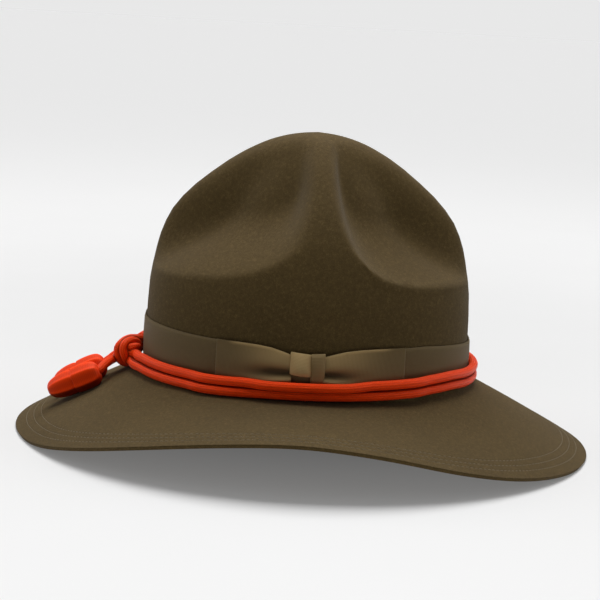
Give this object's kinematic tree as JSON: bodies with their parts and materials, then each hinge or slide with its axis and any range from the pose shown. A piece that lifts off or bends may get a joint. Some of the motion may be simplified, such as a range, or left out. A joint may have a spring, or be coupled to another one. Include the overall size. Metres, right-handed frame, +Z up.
{
  "type": "campaign hat",
  "caption": "Felt campaign hat with a high crown pinched in dents, a broad brim, a ribbon band with a flat bow, and a round cord with a knot and acorns at the front.",
  "frame": {"origin": "on the resting surface, under the middle of the brim", "axes": "+Z up; the hat faces -X, and the wearer's left side with the bow is -Y"},
  "size_m": [0.364, 0.33, 0.1929],
  "materials": {
    "felt": "matt olive-brown wool felt with a short nap",
    "ribbon": "olive-drab grosgrain ribbon with fine ribs",
    "cord": "red-orange braided rayon cord with a soft sheen"
  },
  "bodies": {
    "root": {"felt_body": "felt", "ribbon_band": "ribbon", "bow_loop_front": "ribbon", "bow_loop_back": "ribbon", "bow_knot": "ribbon", "cord_strand_lower": "cord", "cord_strand_upper": "cord", "cord_knot": "cord", "cord_leg_near": "cord", "cord_leg_far": "cord", "acorn_near": "cord", "acorn_far": "cord"}
  },
  "joints": []
}
